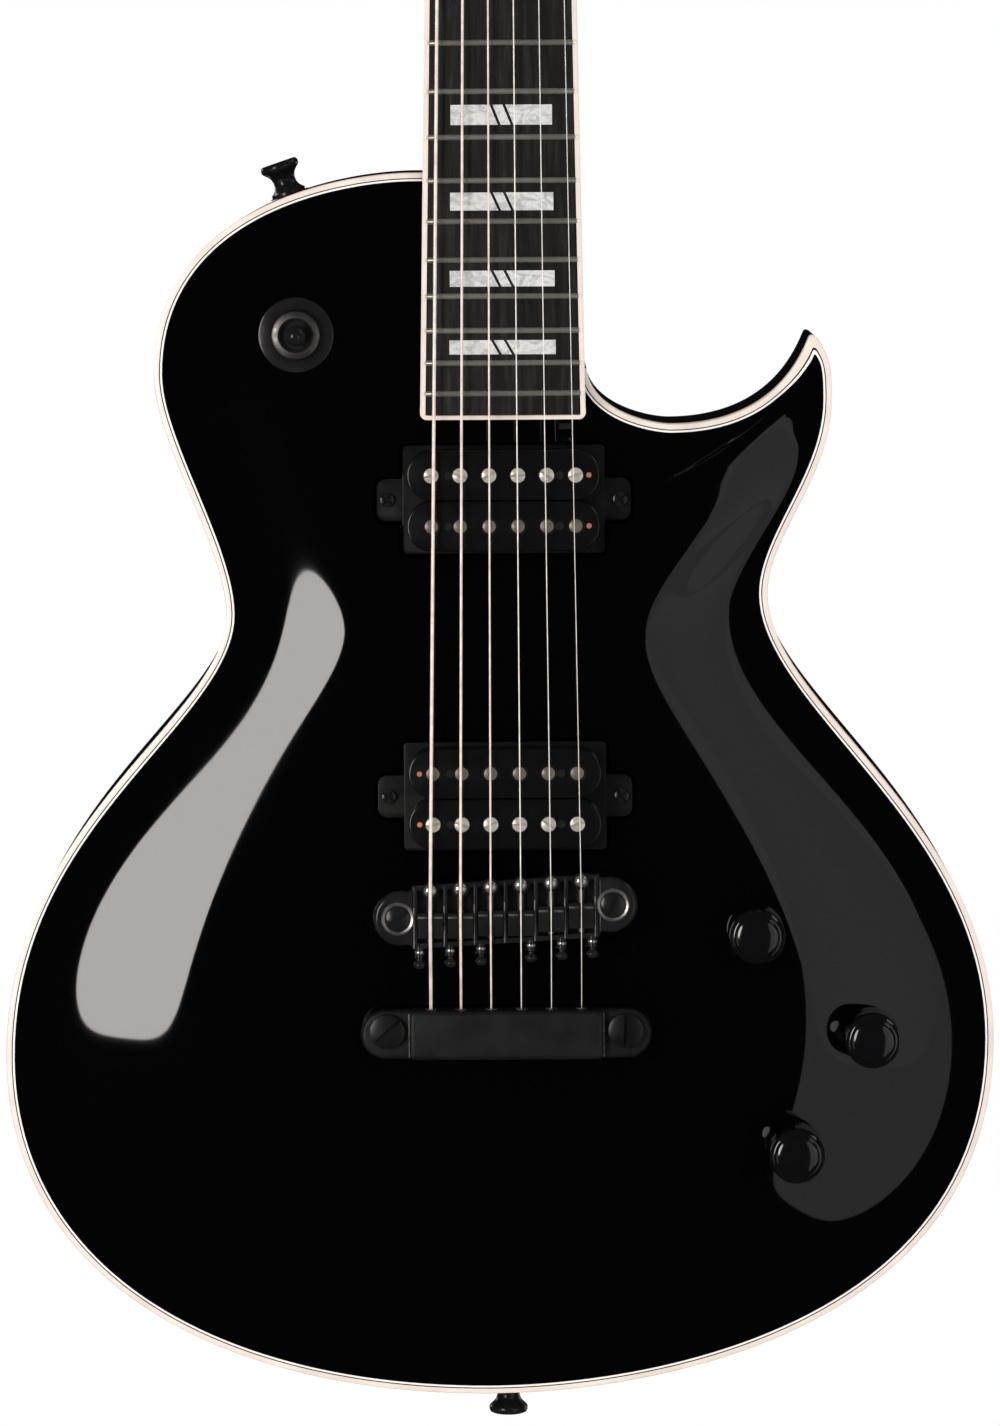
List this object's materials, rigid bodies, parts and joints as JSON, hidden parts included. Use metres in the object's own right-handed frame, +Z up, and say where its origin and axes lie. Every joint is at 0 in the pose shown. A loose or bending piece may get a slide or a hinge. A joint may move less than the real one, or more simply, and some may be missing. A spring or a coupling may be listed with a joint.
{
  "type": "solid-body electric guitar",
  "caption": "Single-cut solid-body electric guitar with carved black top, cream binding, double-coil pickups, adjustable bridge, stop-bar tailpiece, knobs, toggle switch and tuners.",
  "frame": {"origin": "middle of the nut's body side, on the glue line between neck and fretboard, where a wall hanger's yoke carries the neck under the headstock", "axes": "+Z up the neck towards the headstock and square to the body's end, -Y out of the front of the body (the string side), +Y towards the player or the wall, +X the treble side; the body's back lies in a plane of constant Y and the neck leans back by 3 degrees"},
  "size_m": [0.3442, 0.1184, 1.0003],
  "materials": {
    "lacquered_wood": "high-gloss black lacquer over carved wood",
    "neck_wood": "gloss black lacquer over wood",
    "fingerboard_wood": "oiled dark open-grained wood with steel frets and pearl block inlays",
    "cream_binding": "gloss cream-white plastic binding",
    "nut_bone": "polished bone-coloured nut",
    "black_hardware": "black-plated metal, satin to gloss",
    "pickup_plastic": "satin black moulded plastic with steel pole pieces",
    "knob_plastic": "gloss black domed knobs",
    "cover_plastic": "matt black sheet plastic",
    "plain_steel": "bright machined steel",
    "string_steel": "plain and wound steel music wire"
  },
  "bodies": {
    "guitar": {"body_back": "lacquered_wood", "body_top": "lacquered_wood", "body_binding": "cream_binding", "neck": "neck_wood", "fretboard": "fingerboard_wood", "fretboard_binding": "cream_binding", "nut": "nut_bone", "truss_rod_cover": "cover_plastic", "neck_pickup_baseplate": "black_hardware", "neck_pickup_slug_bobbin": "pickup_plastic", "neck_pickup_screw_bobbin": "pickup_plastic", "bridge_pickup_baseplate": "black_hardware", "bridge_pickup_slug_bobbin": "pickup_plastic", "bridge_pickup_screw_bobbin": "pickup_plastic", "bridge_body": "black_hardware", "bridge_post_bass": "black_hardware", "bridge_post_treble": "black_hardware", "tailpiece": "black_hardware", "tailpiece_stud_bass": "black_hardware", "tailpiece_stud_treble": "black_hardware", "pot_1": "plain_steel", "pot_2": "plain_steel", "pot_3": "plain_steel", "switch_body": "black_hardware", "control_cover": "cover_plastic", "switch_cover": "cover_plastic", "jack_plate": "black_hardware", "output_jack": "plain_steel", "strap_button_upper": "black_hardware", "strap_button_lower": "black_hardware", "string_1": "string_steel", "string_2": "string_steel", "string_3": "string_steel", "string_4": "string_steel", "string_5": "string_steel", "string_6": "string_steel", "tuner_plate_bass": "black_hardware", "tuner_plate_treble": "black_hardware"},
    "switch_lever": {"switch_lever": "black_hardware"},
    "knob_1": {"knob_1": "knob_plastic"},
    "knob_2": {"knob_2": "knob_plastic"},
    "knob_3": {"knob_3": "knob_plastic"},
    "saddle_1": {"saddle_1": "black_hardware"},
    "saddle_2": {"saddle_2": "black_hardware"},
    "saddle_3": {"saddle_3": "black_hardware"},
    "saddle_4": {"saddle_4": "black_hardware"},
    "saddle_5": {"saddle_5": "black_hardware"},
    "saddle_6": {"saddle_6": "black_hardware"},
    "tuner_button_1": {"tuner_button_1": "black_hardware"},
    "tuner_post_1": {"tuner_post_1": "black_hardware"},
    "tuner_button_2": {"tuner_button_2": "black_hardware"},
    "tuner_post_2": {"tuner_post_2": "black_hardware"},
    "tuner_button_3": {"tuner_button_3": "black_hardware"},
    "tuner_post_3": {"tuner_post_3": "black_hardware"},
    "tuner_button_4": {"tuner_button_4": "black_hardware"},
    "tuner_post_4": {"tuner_post_4": "black_hardware"},
    "tuner_button_5": {"tuner_button_5": "black_hardware"},
    "tuner_post_5": {"tuner_post_5": "black_hardware"},
    "tuner_button_6": {"tuner_button_6": "black_hardware"},
    "tuner_post_6": {"tuner_post_6": "black_hardware"}
  },
  "joints": [
    {"name": "switch_toggle", "type": "hinge", "parent": "guitar", "child": "switch_lever", "pos_m": [-0.0711, -0.0135, -0.4311], "axis": [1, 0, 0], "range_deg": [-13, 13]},
    {"name": "knob_1_turn", "type": "hinge", "parent": "guitar", "child": "knob_1", "pos_m": [0.0864, -0.0175, -0.6382], "axis": [0, -1, 0], "range_deg": [-140, 140]},
    {"name": "knob_2_turn", "type": "hinge", "parent": "guitar", "child": "knob_2", "pos_m": [0.1264, -0.0175, -0.675], "axis": [0, -1, 0], "range_deg": [-140, 140]},
    {"name": "knob_3_turn", "type": "hinge", "parent": "guitar", "child": "knob_3", "pos_m": [0.1, -0.0175, -0.7145], "axis": [0, -1, 0], "range_deg": [-140, 140]},
    {"name": "saddle_1_slide", "type": "slide", "parent": "guitar", "child": "saddle_1", "axis": [0, 0.0251, 0.9997], "range_m": [-0.0005, 0.004]},
    {"name": "saddle_2_slide", "type": "slide", "parent": "guitar", "child": "saddle_2", "axis": [0, 0.0251, 0.9997], "range_m": [-0.0005, 0.004]},
    {"name": "saddle_3_slide", "type": "slide", "parent": "guitar", "child": "saddle_3", "axis": [0, 0.0251, 0.9997], "range_m": [-0.0005, 0.004]},
    {"name": "saddle_4_slide", "type": "slide", "parent": "guitar", "child": "saddle_4", "axis": [0, 0.0251, 0.9997], "range_m": [-0.0005, 0.004]},
    {"name": "saddle_5_slide", "type": "slide", "parent": "guitar", "child": "saddle_5", "axis": [0, 0.0251, 0.9997], "range_m": [-0.0005, 0.004]},
    {"name": "saddle_6_slide", "type": "slide", "parent": "guitar", "child": "saddle_6", "axis": [0, 0.0251, 0.9997], "range_m": [-0.0005, 0.004]},
    {"name": "tuner_1_button_turn", "type": "hinge", "parent": "guitar", "child": "tuner_button_1", "pos_m": [-0.021, 0.03354, 0.04465], "axis": [-1, 0, 0], "continuous": true},
    {"name": "tuner_1_post_turn", "type": "hinge", "parent": "guitar", "child": "tuner_post_1", "pos_m": [-0.021, 0.01324, 0.04494], "axis": [0, -0.9511, 0.309], "continuous": true},
    {"name": "tuner_2_button_turn", "type": "hinge", "parent": "guitar", "child": "tuner_button_2", "pos_m": [-0.0195, 0.04652, 0.08459], "axis": [-1, 0, 0], "continuous": true},
    {"name": "tuner_2_post_turn", "type": "hinge", "parent": "guitar", "child": "tuner_post_2", "pos_m": [-0.0195, 0.02622, 0.08488], "axis": [0, -0.9511, 0.309], "continuous": true},
    {"name": "tuner_3_button_turn", "type": "hinge", "parent": "guitar", "child": "tuner_button_3", "pos_m": [-0.018, 0.0595, 0.12454], "axis": [-1, 0, 0], "continuous": true},
    {"name": "tuner_3_post_turn", "type": "hinge", "parent": "guitar", "child": "tuner_post_3", "pos_m": [-0.018, 0.0392, 0.12483], "axis": [0, -0.9511, 0.309], "continuous": true},
    {"name": "tuner_4_button_turn", "type": "hinge", "parent": "guitar", "child": "tuner_button_4", "pos_m": [0.018, 0.0595, 0.12454], "axis": [1, 0, 0], "continuous": true},
    {"name": "tuner_4_post_turn", "type": "hinge", "parent": "guitar", "child": "tuner_post_4", "pos_m": [0.018, 0.0392, 0.12483], "axis": [0, -0.9511, 0.309], "continuous": true},
    {"name": "tuner_5_button_turn", "type": "hinge", "parent": "guitar", "child": "tuner_button_5", "pos_m": [0.0195, 0.04652, 0.08459], "axis": [1, 0, 0], "continuous": true},
    {"name": "tuner_5_post_turn", "type": "hinge", "parent": "guitar", "child": "tuner_post_5", "pos_m": [0.0195, 0.02622, 0.08488], "axis": [0, -0.9511, 0.309], "continuous": true},
    {"name": "tuner_6_button_turn", "type": "hinge", "parent": "guitar", "child": "tuner_button_6", "pos_m": [0.021, 0.03354, 0.04465], "axis": [1, 0, 0], "continuous": true},
    {"name": "tuner_6_post_turn", "type": "hinge", "parent": "guitar", "child": "tuner_post_6", "pos_m": [0.021, 0.01324, 0.04494], "axis": [0, -0.9511, 0.309], "continuous": true}
  ],
  "couplings": [
    {"joint": "tuner_1_post_turn", "follows": "tuner_1_button_turn", "ratio": 0.055556},
    {"joint": "tuner_2_post_turn", "follows": "tuner_2_button_turn", "ratio": 0.055556},
    {"joint": "tuner_3_post_turn", "follows": "tuner_3_button_turn", "ratio": 0.055556},
    {"joint": "tuner_4_post_turn", "follows": "tuner_4_button_turn", "ratio": 0.055556},
    {"joint": "tuner_5_post_turn", "follows": "tuner_5_button_turn", "ratio": 0.055556},
    {"joint": "tuner_6_post_turn", "follows": "tuner_6_button_turn", "ratio": 0.055556}
  ]
}
